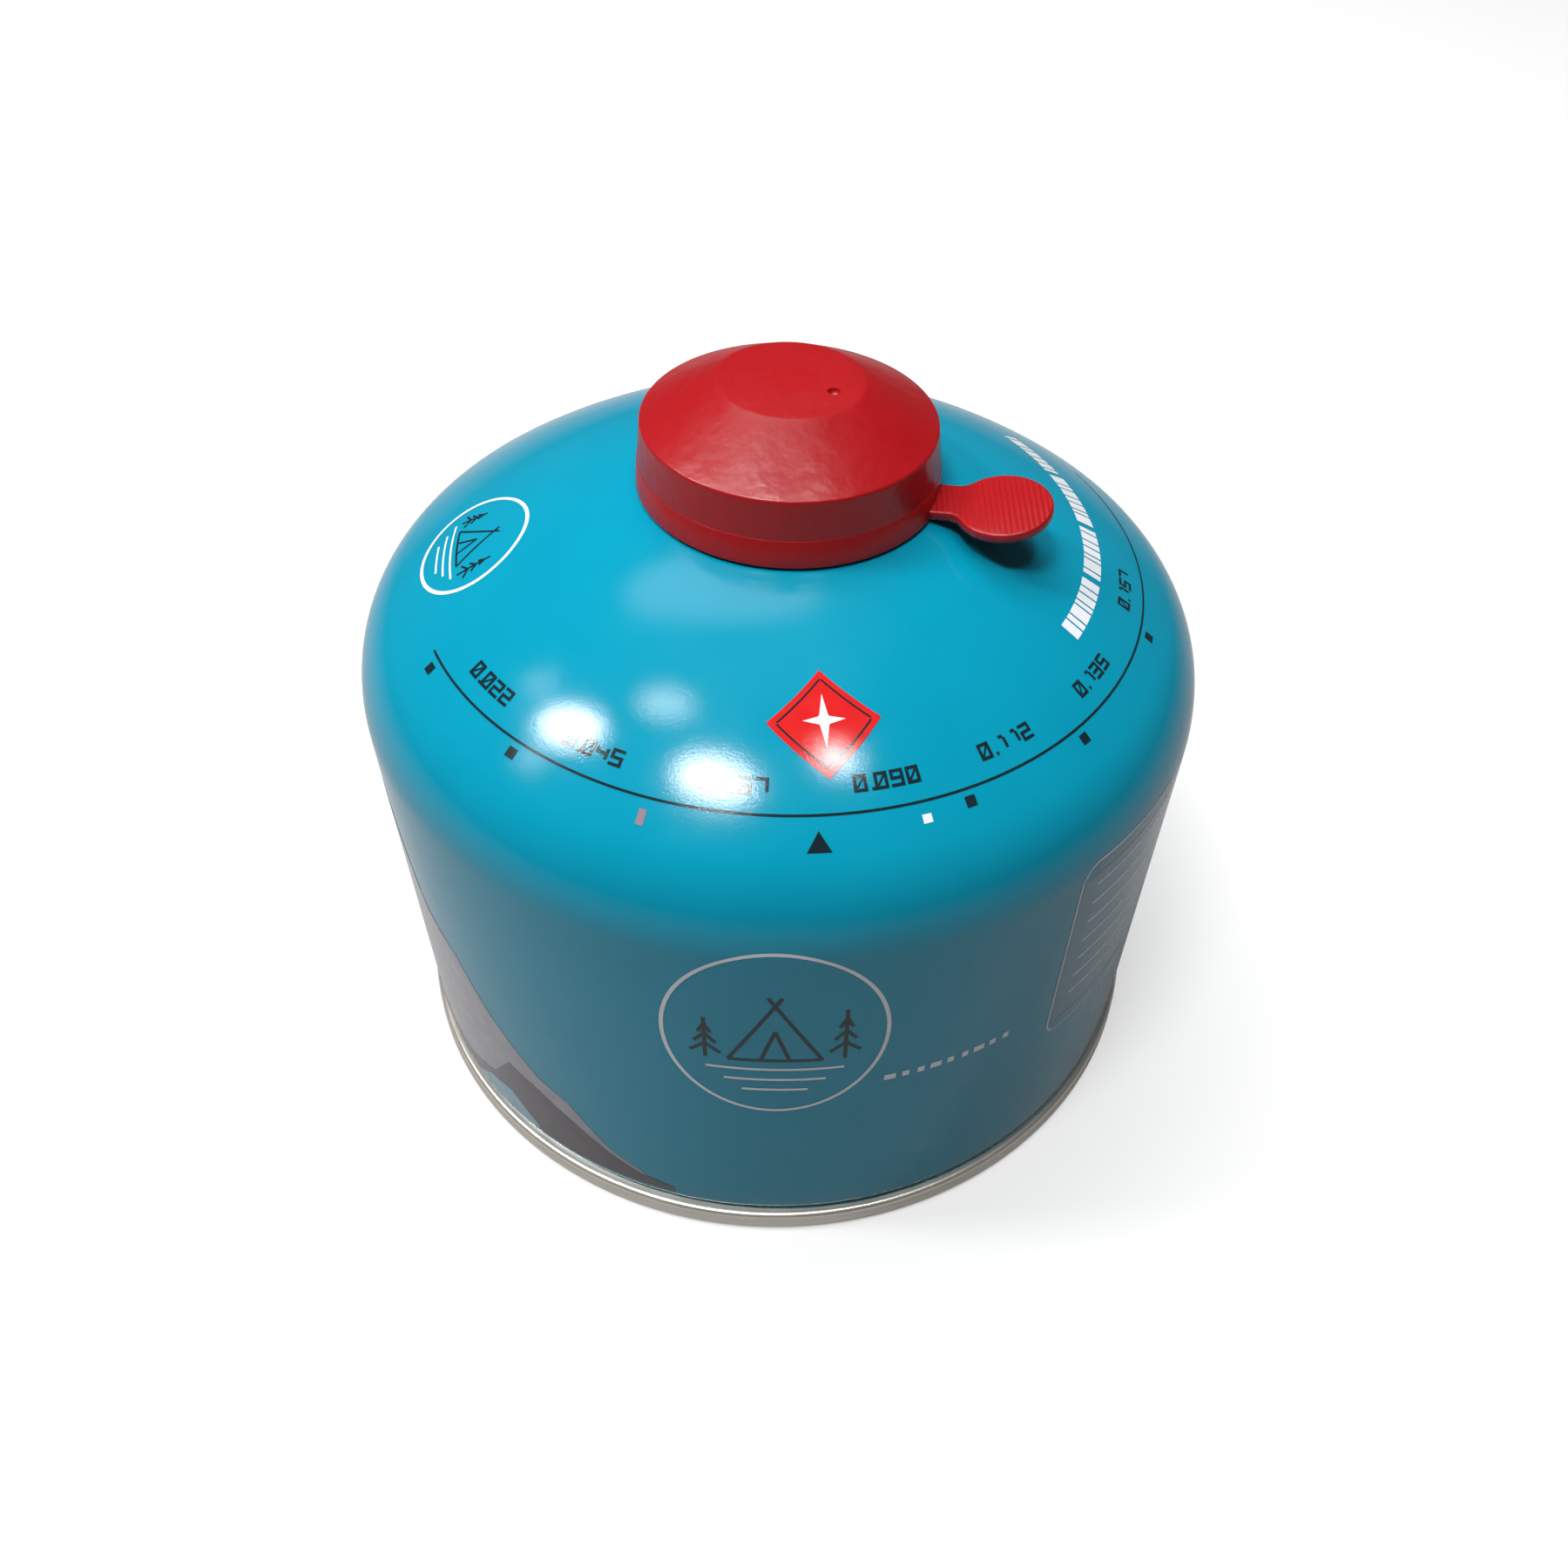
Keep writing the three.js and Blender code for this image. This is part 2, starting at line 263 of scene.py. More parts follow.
bare_bead_radius = 16 * mm
canister.data.materials.append(enamel)
canister.data.materials.append(tinplate)
for face in canister.data.polygons:
    radius = math.hypot(face.center.x, face.center.y)
    on_seam = face.center.z < seam_height + 0.1 * mm
    on_base = radius < seam_inner and face.center.z < base_rise + mm
    under_cap = radius < bare_bead_radius and face.center.z > pocket_floor - mm
    face.material_index = 1 if on_seam or on_base or under_cap else 0
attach(canister, "can")
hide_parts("canister")


# Printing
# Inks printed on the enamel: a dark scale with plain numbers round the dome, a red diamond, pale
# bars, a tent in a ring twice, a framed panel on the wall, and grey hills at the foot.

crown_reach = crown_radius * math.radians(90 - shoulder_sweep)
shoulder_reach = shoulder_radius * math.radians(shoulder_sweep)


def along_dome(radius):
    """Way along the can's section from the pole to a radius on the dome."""
    return crown_radius * math.asin(radius / crown_radius)


def along_wall(height):
    """Way along the can's section from the pole to a height on the wall."""
    return crown_reach + shoulder_reach + wall_top - height


def can_skin(along):
    """Radius, height and outward normal of the can's section at a way along it."""
    if along < crown_reach:
        angle = along / crown_radius
        x, z = math.sin(angle), math.cos(angle)
        return crown_radius * x, crown_centre + crown_radius * z, x, z
    if along < crown_reach + shoulder_reach:
        angle = math.radians(90 - shoulder_sweep) + (along - crown_reach) / shoulder_radius
        x, z = math.sin(angle), math.cos(angle)
        return body_radius - shoulder_radius + shoulder_radius * x, wall_top + shoulder_radius * z, x, z
    return body_radius, wall_top - (along - crown_reach - shoulder_reach), 1, 0


def ink(name, thin, thick):
    """Screen-printed ink: a little uneven in colour, with the enamel's orange peel under it."""
    made, nodes, links, shader = material(name)
    shader.inputs["Specular IOR Level"].default_value = 0.35
    patches = add_grain(nodes, links, shader, 4500, 400, 0.045, 0.0002, 0.09, 0.13)
    colour = mix_colours(nodes, links, patches, thin, thick)
    links.new(colour, shader.inputs["Base Color"])
    return made


dark_ink = ink("dark_ink", (0.012, 0.03, 0.04), (0.006, 0.012, 0.018))
white_ink = ink("white_ink", (0.76, 0.8, 0.84), (0.84, 0.86, 0.9))
red_ink = ink("red_ink", (0.62, 0.01, 0.012), (0.7, 0.02, 0.02))
field_ink = ink("field_ink", (0.1, 0.27, 0.36), (0.13, 0.3, 0.39))
rose_ink = ink("rose_ink", (0.25, 0.2, 0.24), (0.33, 0.24, 0.28))


def start_print(name):
    """An empty flat piece, open in edit mode, to draw a print on."""
    bpy.ops.object.select_all(action="DESELECT")
    bpy.ops.mesh.primitive_plane_add(size=mm, location=(0, 0, 0))
    piece = bpy.context.object
    piece.name = name
    bpy.ops.object.mode_set(mode="EDIT")
    bpy.ops.mesh.delete(type="VERT")
    return piece


def bar(x, y, width, height, turn=0, corners=4):
    """A filled bar about a middle point, turned by an angle in degrees."""
    bpy.ops.mesh.select_all(action="DESELECT")
    if corners == 4:
        bpy.ops.mesh.primitive_plane_add(size=1)
    else:
        bpy.ops.mesh.primitive_circle_add(vertices=corners, radius=0.5, fill_type="NGON")
    bpy.ops.transform.resize(value=(width, height, 1), center_override=(0, 0, 0))
    bpy.ops.transform.rotate(value=-math.radians(turn), orient_axis="Z", center_override=(0, 0, 0))
    bpy.ops.transform.translate(value=(x, y, 0))


def stroke(x0, y0, x1, y1, width):
    """A bar from one point to another."""
    length = math.hypot(x1 - x0, y1 - y0)
    bar((x0 + x1) / 2, (y0 + y1) / 2, length, width, math.degrees(math.atan2(y1 - y0, x1 - x0)))


def lay_print(piece, finish, azimuth, along, lift=0.04 * mm, step=1.2 * mm):
    """Cuts a flat print fine, wraps it on the can about a point, and gives it its ink."""
    bpy.ops.object.mode_set(mode="OBJECT")
    xs = [v.co.x for v in piece.data.vertices]
    ys = [v.co.y for v in piece.data.vertices]
    bpy.ops.object.mode_set(mode="EDIT")
    for low, high, normal in ((min(xs), max(xs), (1, 0, 0)), (min(ys), max(ys), (0, 1, 0))):
        cuts = int((high - low) / step)
        for i in range(1, cuts + 1):
            at = low + (high - low) * i / (cuts + 1)
            bpy.ops.mesh.select_all(action="SELECT")
            bpy.ops.mesh.bisect(plane_co=(at * normal[0], at * normal[1], 0), plane_no=normal)
    bpy.ops.object.mode_set(mode="OBJECT")
    middle = can_skin(along)[0]
    for vertex in piece.data.vertices:
        angle = math.radians(azimuth) + vertex.co.x / middle
        radius, height, out, up = can_skin(along - vertex.co.y)
        radius += lift * out
        vertex.co = (radius * math.sin(angle), -radius * math.cos(angle), height + lift * up)
    bpy.ops.object.shade_smooth()
    piece.data.materials.clear()
    piece.data.materials.append(finish)
    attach(piece, "can")


scale_radius = 45 * mm
scale_start = -64
scale_end = 118
scale_line = start_print("scale_line")
scale_middle = (scale_start + scale_end) / 2
scale_length = math.radians(scale_end - scale_start) * scale_radius
bar(0, 0, scale_length, 0.3 * mm)
lay_print(scale_line, dark_ink, scale_middle, along_dome(scale_radius))

for number, azimuth in enumerate((-61.6, -39.8, 25.5, 46.8, 73.1)):
    tick = start_print(f"scale_tick_{number + 1}")
    bar(0, 0, 1.25 * mm, 1.25 * mm)
    lay_print(tick, dark_ink, azimuth, along_dome(46.2 * mm))

pointer = start_print("scale_pointer")
bar(0, 0, 3.1 * mm, 3.1 * mm, corners=3)
lay_print(pointer, dark_ink, 4.35, along_dome(47.65 * mm))

white_mark = start_print("scale_mark_white")
bar(0, 0, 1.05 * mm, 1 * mm)
lay_print(white_mark, white_ink, 18.9, along_dome(46.6 * mm))

rose_mark = start_print("scale_mark_rose")
bar(0, 0, 0.85 * mm, 1.75 * mm)
lay_print(rose_mark, rose_ink, -18.7, along_dome(46.8 * mm))

digit_width = 1.5 * mm
digit_height = 1.95 * mm
digit_stroke = 0.37 * mm
digit_step = 1.78 * mm
digit_bars = {
    "0": "abcdefs", "1": "bcx", "2": "abged", "3": "abgcd", "4": "fgbc",
    "5": "afgcd", "6": "afgedc", "7": "abc", "8": "abcdefg", "9": "abcdfg",
}


def draw_digit(figure, x):
    """One square-cornered figure about a middle x, made of bars as on a dial."""
    half_wide = (digit_width - digit_stroke) / 2
    half_high = (digit_height - digit_stroke) / 2
    upright = half_high - digit_stroke
    places = {
        "a": (0, half_high, digit_width, digit_stroke),
        "g": (0, 0, digit_width, digit_stroke),
        "d": (0, -half_high, digit_width, digit_stroke),
        "b": (half_wide, half_high / 2, digit_stroke, upright),
        "c": (half_wide, -half_high / 2, digit_stroke, upright),
        "e": (-half_wide, -half_high / 2, digit_stroke, upright),
        "f": (-half_wide, half_high / 2, digit_stroke, upright),
    }
    names = digit_bars[figure]
    for name in names:
        if name in places:
            dx, y, width, height = places[name]
            bar(x + dx, y, width, height)
    if "s" in names:
        bar(x, 0, 1.3 * mm, 0.24 * mm, 55)
    if "x" in names:
        bar(x + half_wide - 0.3 * mm, half_high, 0.6 * mm, digit_stroke)
    for side, pair in ((1, "bc"), (-1, "fe")):
        if pair[0] in names and pair[1] in names and "g" not in names:
            bar(x + side * half_wide, 0, digit_stroke, digit_stroke)


for label, azimuth in (
    ("0.022", -50), ("0.045", -28.5), ("0.067", -7), ("0.090", 14.9),
    ("0.112", 34.8), ("0.135", 56.5), ("0.157", 80.5),
):
    figures = start_print("scale_number_" + label.replace(".", "_"))
    place = -(digit_step * 4 - 0.86 * mm) / 2
    for figure in label:
        if figure == ".":
            bar(place - 0.42 * mm, -(digit_height - digit_stroke) / 2, 0.34 * mm, digit_stroke)
            place += 0.5 * mm
        else:
            draw_digit(figure, place)
            place += digit_step
    lay_print(figures, dark_ink, azimuth, along_dome(42.4 * mm), step=0.9 * mm)

diamond_side = 8.8 * mm
diamond = start_print("diamond_field")
bar(0, 0, diamond_side, diamond_side, 45)
lay_print(diamond, red_ink, 6.4, along_dome(36.3 * mm))

inset = diamond_side / 2 - 0.75 * mm
diamond_line = start_print("diamond_line")
for turn in (45, 135, 225, 315):
    angle = math.radians(turn)
    bar(inset * math.cos(angle), inset * math.sin(angle), 0.22 * mm, 2 * inset - 0.22 * mm, turn)
lay_print(diamond_line, dark_ink, 6.4, along_dome(36.3 * mm), lift=0.06 * mm)

diamond_star = start_print("diamond_star")
for turn, point in ((0, 2.6 * mm), (90, 2 * mm), (180, 2.6 * mm), (270, 2 * mm)):
    angle = math.radians(turn + 90)
    bar(point / 2 * math.cos(angle), point / 2 * math.sin(angle), 1.2 * mm, point * 4 / 3, turn, corners=3)
bar(0, 0, 1.1 * mm, 1.1 * mm)
lay_print(diamond_star, white_ink, 6.4, along_dome(36 * mm), lift=0.06 * mm)

bars_radius = 37.9 * mm
bars_start = 60
bars_end = 131
pale_bars = start_print("pale_bars")
bars_middle = math.radians((bars_start + bars_end) / 2)
place = -math.radians(bars_end - bars_start) * bars_radius / 2
bar_widths = (1.5, 0.9, 1.9, 0.7, 1.3, 1.1)
count = 0
while place < math.radians(bars_end - bars_start) * bars_radius / 2 - 2 * mm:
    width = bar_widths[count % len(bar_widths)] * mm
    bar(place + width / 2, 0, width, 2.6 * mm)
    count += 1
    place += width + (1.1 * mm if count % 7 == 0 else 0.28 * mm)
lay_print(pale_bars, white_ink, math.degrees(bars_middle), along_dome(bars_radius))


def draw_ring(wide, high, line, start, end):
    """Part of a thin oval ring about the middle, from one angle to another in degrees."""
    steps = 72
    corners = [math.radians(start + (end - start) * i / steps) for i in range(steps + 1)]
    points = [(wide * math.cos(a), high * math.sin(a)) for a in corners]
    for (x0, y0), (x1, y1) in zip(points, points[1:]):
        stroke(x0, y0, x1, y1, line)


def emblem(name, azimuth, along, wide, high):
    """A tent between two firs, in dark lines, inside a pale ring with three ground lines."""
    line = wide * 0.035
    ring = start_print(name + "_ring")
    draw_ring(wide, high, 0.5 * mm, 0, 360)
    for y, half in ((-0.42, 0.62), (-0.56, 0.46), (-0.7, 0.3)):
        bar(0, y * high, 2 * half * wide, line)
    lay_print(ring, white_ink, azimuth, along, step=1.6 * mm)
    motif = start_print(name + "_tent")
    tent = [(-0.42, -0.3), (0, 0.4), (0.42, -0.3), (-0.42, -0.3)]
    door = [(-0.13, -0.3), (0, 0.08), (0.13, -0.3)]
    poles = [(0, 0.4), (0.06, 0.5)]
    for shape in (tent, door, poles, [(0, 0.4), (-0.06, 0.5)]):
        for (x0, y0), (x1, y1) in zip(shape, shape[1:]):
            stroke(x0 * wide, y0 * high, x1 * wide, y1 * high, line)
    for x, foot, tall in ((-0.62, -0.3, 0.5), (0.62, -0.3, 0.62)):
        stroke(x * wide, foot * high, x * wide, (foot + tall) * high, line)
        for part in (0.25, 0.5, 0.75):
            y = foot + tall * part
            reach = 0.16 * (1.1 - part)
            stroke((x - reach) * wide, (y - 0.06) * high, x * wide, (y + 0.05) * high, line)
            stroke((x + reach) * wide, (y - 0.06) * high, x * wide, (y + 0.05) * high, line)
    lay_print(motif, dark_ink, azimuth, along, step=1.6 * mm)


emblem("wall_emblem", -0.8, along_wall(45.5 * mm), 13.2 * mm, 15.5 * mm)
emblem("dome_emblem", -84, along_dome(38.3 * mm), 8 * mm, 7.6 * mm)

dashes = start_print("wall_dashes")
for i in range(9):
    bar((i - 4) * 2 * mm, 0, (0.9 if i % 3 else 1.5) * mm, 1.1 * mm)
lay_print(dashes, white_ink, 22.5, along_wall(35 * mm))

panel_middle = 50.5
panel_wide = 21 * mm
panel_high = 33 * mm
panel = start_print("wall_panel")
corner = 2.4 * mm
for side in (1, -1):
    bar(side * panel_wide / 2, 0, 0.35 * mm, panel_high - 2 * corner)
    bar(0, side * panel_high / 2, panel_wide - 2 * corner, 0.35 * mm)
for sx, sy, start in ((1, 1, 0), (-1, 1, 90), (-1, -1, 180), (1, -1, 270)):
    ends = arc(sx * (panel_wide / 2 - corner), sy * (panel_high / 2 - corner), corner, start, start + 90, 6)
    for (x0, y0), (x1, y1) in zip(ends, ends[1:]):
        stroke(x0, y0, x1, y1, 0.3 * mm)
for i, long in enumerate((15, 12, 15, 9, 13, 15, 10)):
    bar((long - 15) * mm / 2, (12 - 3.6 * i) * mm, long * mm, 0.45 * mm)
lay_print(panel, white_ink, panel_middle, along_wall(44.5 * mm), step=1.6 * mm)

panel_field = start_print("wall_panel_field")
bar(0, 0, panel_wide - 0.6 * mm, panel_high - 2 * corner)
for side in (1, -1):
    bar(0, side * (panel_high - corner) / 2, panel_wide - 2 * corner, corner - 0.6 * mm)
lay_print(panel_field, field_ink, panel_middle, along_wall(44.5 * mm), lift=0.02 * mm, step=1.6 * mm)

hills_foot = neck_top + 0.4 * mm


def hills(name, finish, ridge, lift):
    """A range of hills on the wall, given as azimuth and height points along its ridge."""
    piece = start_print(name)
    first, last = ridge[0][0], ridge[-1][0]
    columns = int(last - first)
    bpy.ops.mesh.primitive_grid_add(x_subdivisions=columns, y_subdivisions=12, size=1)
    bpy.ops.object.mode_set(mode="OBJECT")
    for vertex in piece.data.vertices:
        azimuth = first + (vertex.co.x + 0.5) * (last - first)
        for (a0, h0), (a1, h1) in zip(ridge, ridge[1:]):
            if a0 <= azimuth + 0.001 and azimuth <= a1 + 0.001:
                share = (azimuth - a0) / (a1 - a0)
                top = (h0 + (h1 - h0) * share) * mm
        height = hills_foot + (vertex.co.y + 0.5) * (max(top, hills_foot + 0.1 * mm) - hills_foot)
        angle = math.radians(azimuth)
        radius = body_radius + lift
        vertex.co = (radius * math.sin(angle), -radius * math.cos(angle), height)
    bpy.ops.object.shade_smooth()
    piece.data.materials.clear()
    piece.data.materials.append(finish)
    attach(piece, "can")


far_hill_ink = ink("far_hill_ink", (0.3, 0.29, 0.33), (0.42, 0.4, 0.43))
near_hill_ink = ink("near_hill_ink", (0.09, 0.075, 0.09), (0.14, 0.115, 0.13))
lake_ink = ink("lake_ink", (0.2, 0.42, 0.52), (0.3, 0.5, 0.6))
far_ridge = [
    (-118, 10), (-104, 22), (-97, 19), (-84, 42), (-76, 39), (-68, 53), (-62, 45), (-57, 38),
    (-50, 35), (-44, 28), (-36, 21), (-31, 19), (-25, 12), (-20, 9), (-17, 6.2),
]
near_ridge = [
    (-108, 8), (-96, 13), (-86, 10), (-74, 15), (-64, 9), (-54, 9), (-47, 12), (-42, 19),
    (-37, 18), (-31, 15), (-25, 11), (-20, 8.4), (-15, 7),
]
lake_shore = [(-52, 7), (-48, 10), (-43, 11), (-38, 7)]
hills("far_hills", far_hill_ink, far_ridge, 0.03 * mm)
hills("near_hills", near_hill_ink, near_ridge, 0.05 * mm)
hills("hill_lake", lake_ink, lake_shore, 0.07 * mm)


# Valve cup
# Pressed tinplate: a rim crimped over the can's bead, a recess, and the threaded nose that the
# stove screws on. The thread is rolled into the nose.

cup_sheet = 0.45 * mm
cup_outer = bead_radius + 0.3 * mm + cup_sheet
cup_rim_top = bead_level + cup_outer
cup_floor = cup_rim_top - 5 * mm
cup_wall = opening_radius - 0.3 * mm
cup_corner = 0.9 * mm
nose_radius = 5.5 * mm
nose_sheet = 0.55 * mm
nose_top = cup_rim_top + 5.5 * mm
nose_edge = 0.8 * mm
nose_bore = nose_radius - nose_sheet
mouth_radius = 1.9 * mm
thread_depth = 0.5 * mm
thread_sink = 0.1 * mm
thread_pitch = 25.4 / 28 * mm

cup_section = [
    (bead_centre + cup_outer, bead_level - 0.9 * mm),
    *arc(bead_centre, bead_level, cup_outer, 0, 90, 10),
    *arc(cup_wall - cup_sheet + cup_corner, cup_rim_top - cup_corner, cup_corner, 90, 180, 6),
    *arc(cup_wall - cup_sheet - cup_corner, cup_floor + cup_corner, cup_corner, 0, -90, 6),
    *arc(nose_radius - thread_depth + 0.8 * mm, cup_floor + 0.8 * mm, 0.8 * mm, 270, 180, 6),
    *arc(nose_radius - thread_depth - nose_edge, nose_top - nose_edge, nose_edge, 0, 90, 6),
    (mouth_radius, nose_top),
    (mouth_radius, nose_top - nose_sheet),
    (nose_bore - 0.2 * mm, nose_top - nose_sheet),
    (nose_bore - 0.2 * mm, cup_floor - cup_sheet),
    (cup_wall - cup_corner, cup_floor - cup_sheet),
    *arc(cup_wall - cup_corner, cup_floor - cup_sheet + cup_corner, cup_corner, -90, 0, 6)[1:],
    *arc(bead_centre, bead_level, cup_outer - cup_sheet, 180, 0, 14),
    (bead_centre + cup_outer - cup_sheet, bead_level - 0.9 * mm),
    (bead_centre + cup_outer, bead_level - 0.9 * mm),
]
cup = turned("valve_cup_pressing", cup_section, steps=128)

bpy.ops.object.select_all(action="DESELECT")
bpy.ops.mesh.primitive_plane_add(size=mm, location=(0, 0, 0))
thread = bpy.context.object
thread_foot = cup_floor + 1.6 * mm
thread_turns = 7
bpy.ops.object.mode_set(mode="EDIT")
bpy.ops.mesh.merge(type="CENTER")
bpy.ops.transform.translate(value=(nose_radius - thread_depth - thread_sink, 0, thread_foot))
flank = thread_pitch * 0.36
crest = thread_pitch * 0.14
for out, rise in ((thread_depth + thread_sink, flank), (0, crest), (-thread_depth - thread_sink, flank)):
    bpy.ops.mesh.extrude_region_move(TRANSFORM_OT_translate={"value": (out, 0, rise)})
bpy.ops.object.mode_set(mode="OBJECT")
winding = thread.modifiers.new("winding", "SCREW")
winding.angle = 2 * math.pi * thread_turns
winding.screw_offset = thread_pitch * thread_turns
winding.steps = 48 * thread_turns
winding.render_steps = 48 * thread_turns
winding.use_normal_calculate = True
bpy.ops.object.modifier_apply(modifier="winding")
bpy.ops.object.select_all(action="DESELECT")
thread.select_set(True)
cup.select_set(True)
bpy.context.view_layer.objects.active = cup
bpy.ops.object.join()
cup.data.materials.clear()
cup.data.materials.append(tinplate)
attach(cup, "can")
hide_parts("valve_cup")


# Valve insides
# Rubber washer under the mouth, a plunger and a sleeve moulded in white plastic, and the wire
# spring between them. They are dropped into the nose before the cup is crimped.

washer_rubber, nodes, links, shader = material("washer_rubber")
patches = add_grain(nodes, links, shader, 2500, 300, 0.2, 0.0001, 0.6, 0.85)
colour = mix_colours(nodes, links, patches, (0.012, 0.012, 0.013), (0.03, 0.03, 0.031))
links.new(colour, shader.inputs["Base Color"])

white_moulding, nodes, links, shader = material("white_moulding")
patches = add_grain(nodes, links, shader, 1800, 200, 0.08, 0.0001, 0.38, 0.5)
colour = mix_colours(nodes, links, patches, (0.68, 0.66, 0.6), (0.78, 0.77, 0.72))
links.new(colour, shader.inputs["Base Color"])

spring_wire, nodes, links, shader = material("spring_wire")
shader.inputs["Metallic"].default_value = 1
patches = add_grain(nodes, links, shader, 2200, 500, 0.06, 0.0001, 0.29, 0.4)
colour = mix_colours(nodes, links, patches, (0.36, 0.36, 0.37), (0.5, 0.5, 0.51))
links.new(colour, shader.inputs["Base Color"])

for node, finish in (
    ("stem_seal", washer_rubber),
    ("valve_stem", white_moulding),
    ("valve_housing", white_moulding),
    ("valve_spring", spring_wire),
):
    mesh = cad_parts[node].data
    mesh.materials.clear()
    mesh.materials.append(finish)


# Cap
# Moulded in one piece of red plastic: tapered wall with a stepped skirt, cone and flat top, a
# gate mark beside the middle, a snap ridge inside, and a thin tab with a ribbed round pad.

cap_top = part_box("cap")[1][2]
cap_foot_radius = 18.35 * mm
cap_skirt_radius = 18.05 * mm
cap_rim_radius = 17.5 * mm
cap_flat_radius = 8.6 * mm
cap_wall = 1.2 * mm
cap_rim = cap_top - 4.6 * mm
cap_foot = cap_rim - 8.1 * mm
cap_bore = cap_foot_radius - cap_wall
cap_rim_edge = 0.5 * mm
skirt_top = cap_foot + 3.2 * mm
cone_angle = math.degrees(math.atan2(cap_top - cap_rim, cap_rim_radius - cap_flat_radius))
roof_drop = cap_wall / math.cos(math.radians(cone_angle))
snap_radius = bead_centre + cup_outer + 0.3 * mm
snap_foot = cap_foot + 0.5 * mm

cap_section = [
    (0, cap_top - cap_wall),
    (cap_flat_radius, cap_top - cap_wall),
    (cap_rim_radius - cap_wall, cap_rim + cap_wall * math.tan(math.radians(cone_angle)) - roof_drop),
    (cap_bore, snap_foot + 2 * mm),
    (snap_radius, snap_foot + mm),
    (snap_radius, snap_foot),
    (cap_bore, cap_foot),
    (cap_foot_radius - 0.15 * mm, crown_height(cap_foot_radius) + 0.34 * mm),
    (cap_foot_radius, crown_height(cap_foot_radius) + 0.5 * mm),
    (cap_skirt_radius, skirt_top - 0.03 * mm),
    (cap_skirt_radius - 0.02 * mm, skirt_top),
    (cap_skirt_radius - 0.06 * mm, skirt_top + 0.04 * mm),
    *arc(cap_rim_radius - cap_rim_edge, cap_rim - cap_rim_edge, cap_rim_edge, 0, 90 - cone_angle, 5),
    (cap_flat_radius + 0.35 * mm, cap_top - 0.2 * mm),
    (cap_flat_radius + 0.05 * mm, cap_top - 0.06 * mm),
    (cap_flat_radius - 0.35 * mm, cap_top),
    (0, cap_top),
]
cap = turned("cap_moulding", cap_section, steps=192)

tab_azimuth = math.radians(72)
tab_thickness = 1.3 * mm
tab_rise = math.radians(7)
tab_twist = math.radians(5)
strap_half = 2.8 * mm
pad_radius = 5.8 * mm
pad_centre = cap_foot_radius + 8.1 * mm
tab_fillet = 2.4 * mm
tab_root = cap_foot_radius - cap_wall / 2
fillet_reach = math.sqrt((pad_radius + tab_fillet) ** 2 - (strap_half + tab_fillet) ** 2)
join = math.degrees(math.asin((strap_half + tab_fillet) / (pad_radius + tab_fillet)))
tab_outline = [
    (tab_root, -strap_half),
    *arc(pad_centre - fillet_reach, -strap_half - tab_fillet, tab_fillet, 90, join, 8),
    *arc(pad_centre, 0, pad_radius, 180 + join, 540 - join, 64)[1:-1],
    *arc(pad_centre - fillet_reach, strap_half + tab_fillet, tab_fillet, -join, -90, 8),
    (tab_root, strap_half),
]
bpy.ops.object.select_all(action="DESELECT")
bpy.ops.mesh.primitive_plane_add(size=mm, location=(0, 0, 0))
tab = bpy.context.object
bpy.ops.object.mode_set(mode="EDIT")
bpy.ops.mesh.merge(type="CENTER")
bpy.ops.transform.translate(value=(*tab_outline[0], 0))
for (x0, y0), (x1, y1) in zip(tab_outline, tab_outline[1:]):
    bpy.ops.mesh.extrude_region_move(TRANSFORM_OT_translate={"value": (x1 - x0, y1 - y0, 0)})
bpy.ops.mesh.select_all(action="SELECT")
bpy.ops.mesh.edge_face_add()
bpy.ops.mesh.extrude_region_move(TRANSFORM_OT_translate={"value": (0, 0, tab_thickness)})
bpy.ops.mesh.select_all(action="SELECT")
bpy.ops.mesh.normals_make_consistent(inside=False)
bpy.ops.object.mode_set(mode="OBJECT")
rounding = tab.modifiers.new("rounding", "BEVEL")
rounding.width = 0.4 * mm
rounding.segments = 4
rounding.limit_method = "ANGLE"
rounding.angle_limit = math.radians(50)
bpy.ops.object.modifier_apply(modifier="rounding")
bend = (
    Matrix.Rotation(tab_azimuth - math.pi / 2, 4, "Z")
    @ Matrix.Translation((cap_foot_radius, 0, cap_foot + 0.1 * mm))
    @ Matrix.Rotation(-tab_rise, 4, "Y")
    @ Matrix.Translation((-cap_foot_radius, 0, 0))
    @ Matrix.Rotation(tab_twist, 4, "X")
)
tab.data.transform(bend)

bpy.ops.object.select_all(action="DESELECT")
gate_place = (5.4 * mm * math.sin(math.radians(64)), -5.4 * mm * math.cos(math.radians(64)), cap_top)
bpy.ops.mesh.primitive_uv_sphere_add(segments=32, ring_count=16, radius=0.75 * mm, location=gate_place)
gate = bpy.context.object
bpy.ops.object.transform_apply(location=True)

for name, other, operation in (("tab_weld", tab, "UNION"), ("gate_mark", gate, "DIFFERENCE")):
    cut = cap.modifiers.new(name, "BOOLEAN")
    cut.object = other
    cut.operation = operation
    cut.solver = "EXACT"
    bpy.ops.object.select_all(action="DESELECT")
    cap.select_set(True)
    bpy.context.view_layer.objects.active = cap
    bpy.ops.object.modifier_apply(modifier=name)
    bpy.data.objects.remove(other)
bpy.ops.object.shade_smooth_by_angle(angle=math.radians(32))

red_moulding, nodes, links, shader = material("red_moulding")
patches = add_grain(nodes, links, shader, 260, 45, 0.3, 0.0008, 0.28, 0.38)
colour = mix_colours(nodes, links, patches, (0.36, 0.004, 0.007), (0.42, 0.007, 0.011))
links.new(colour, shader.inputs["Base Color"])

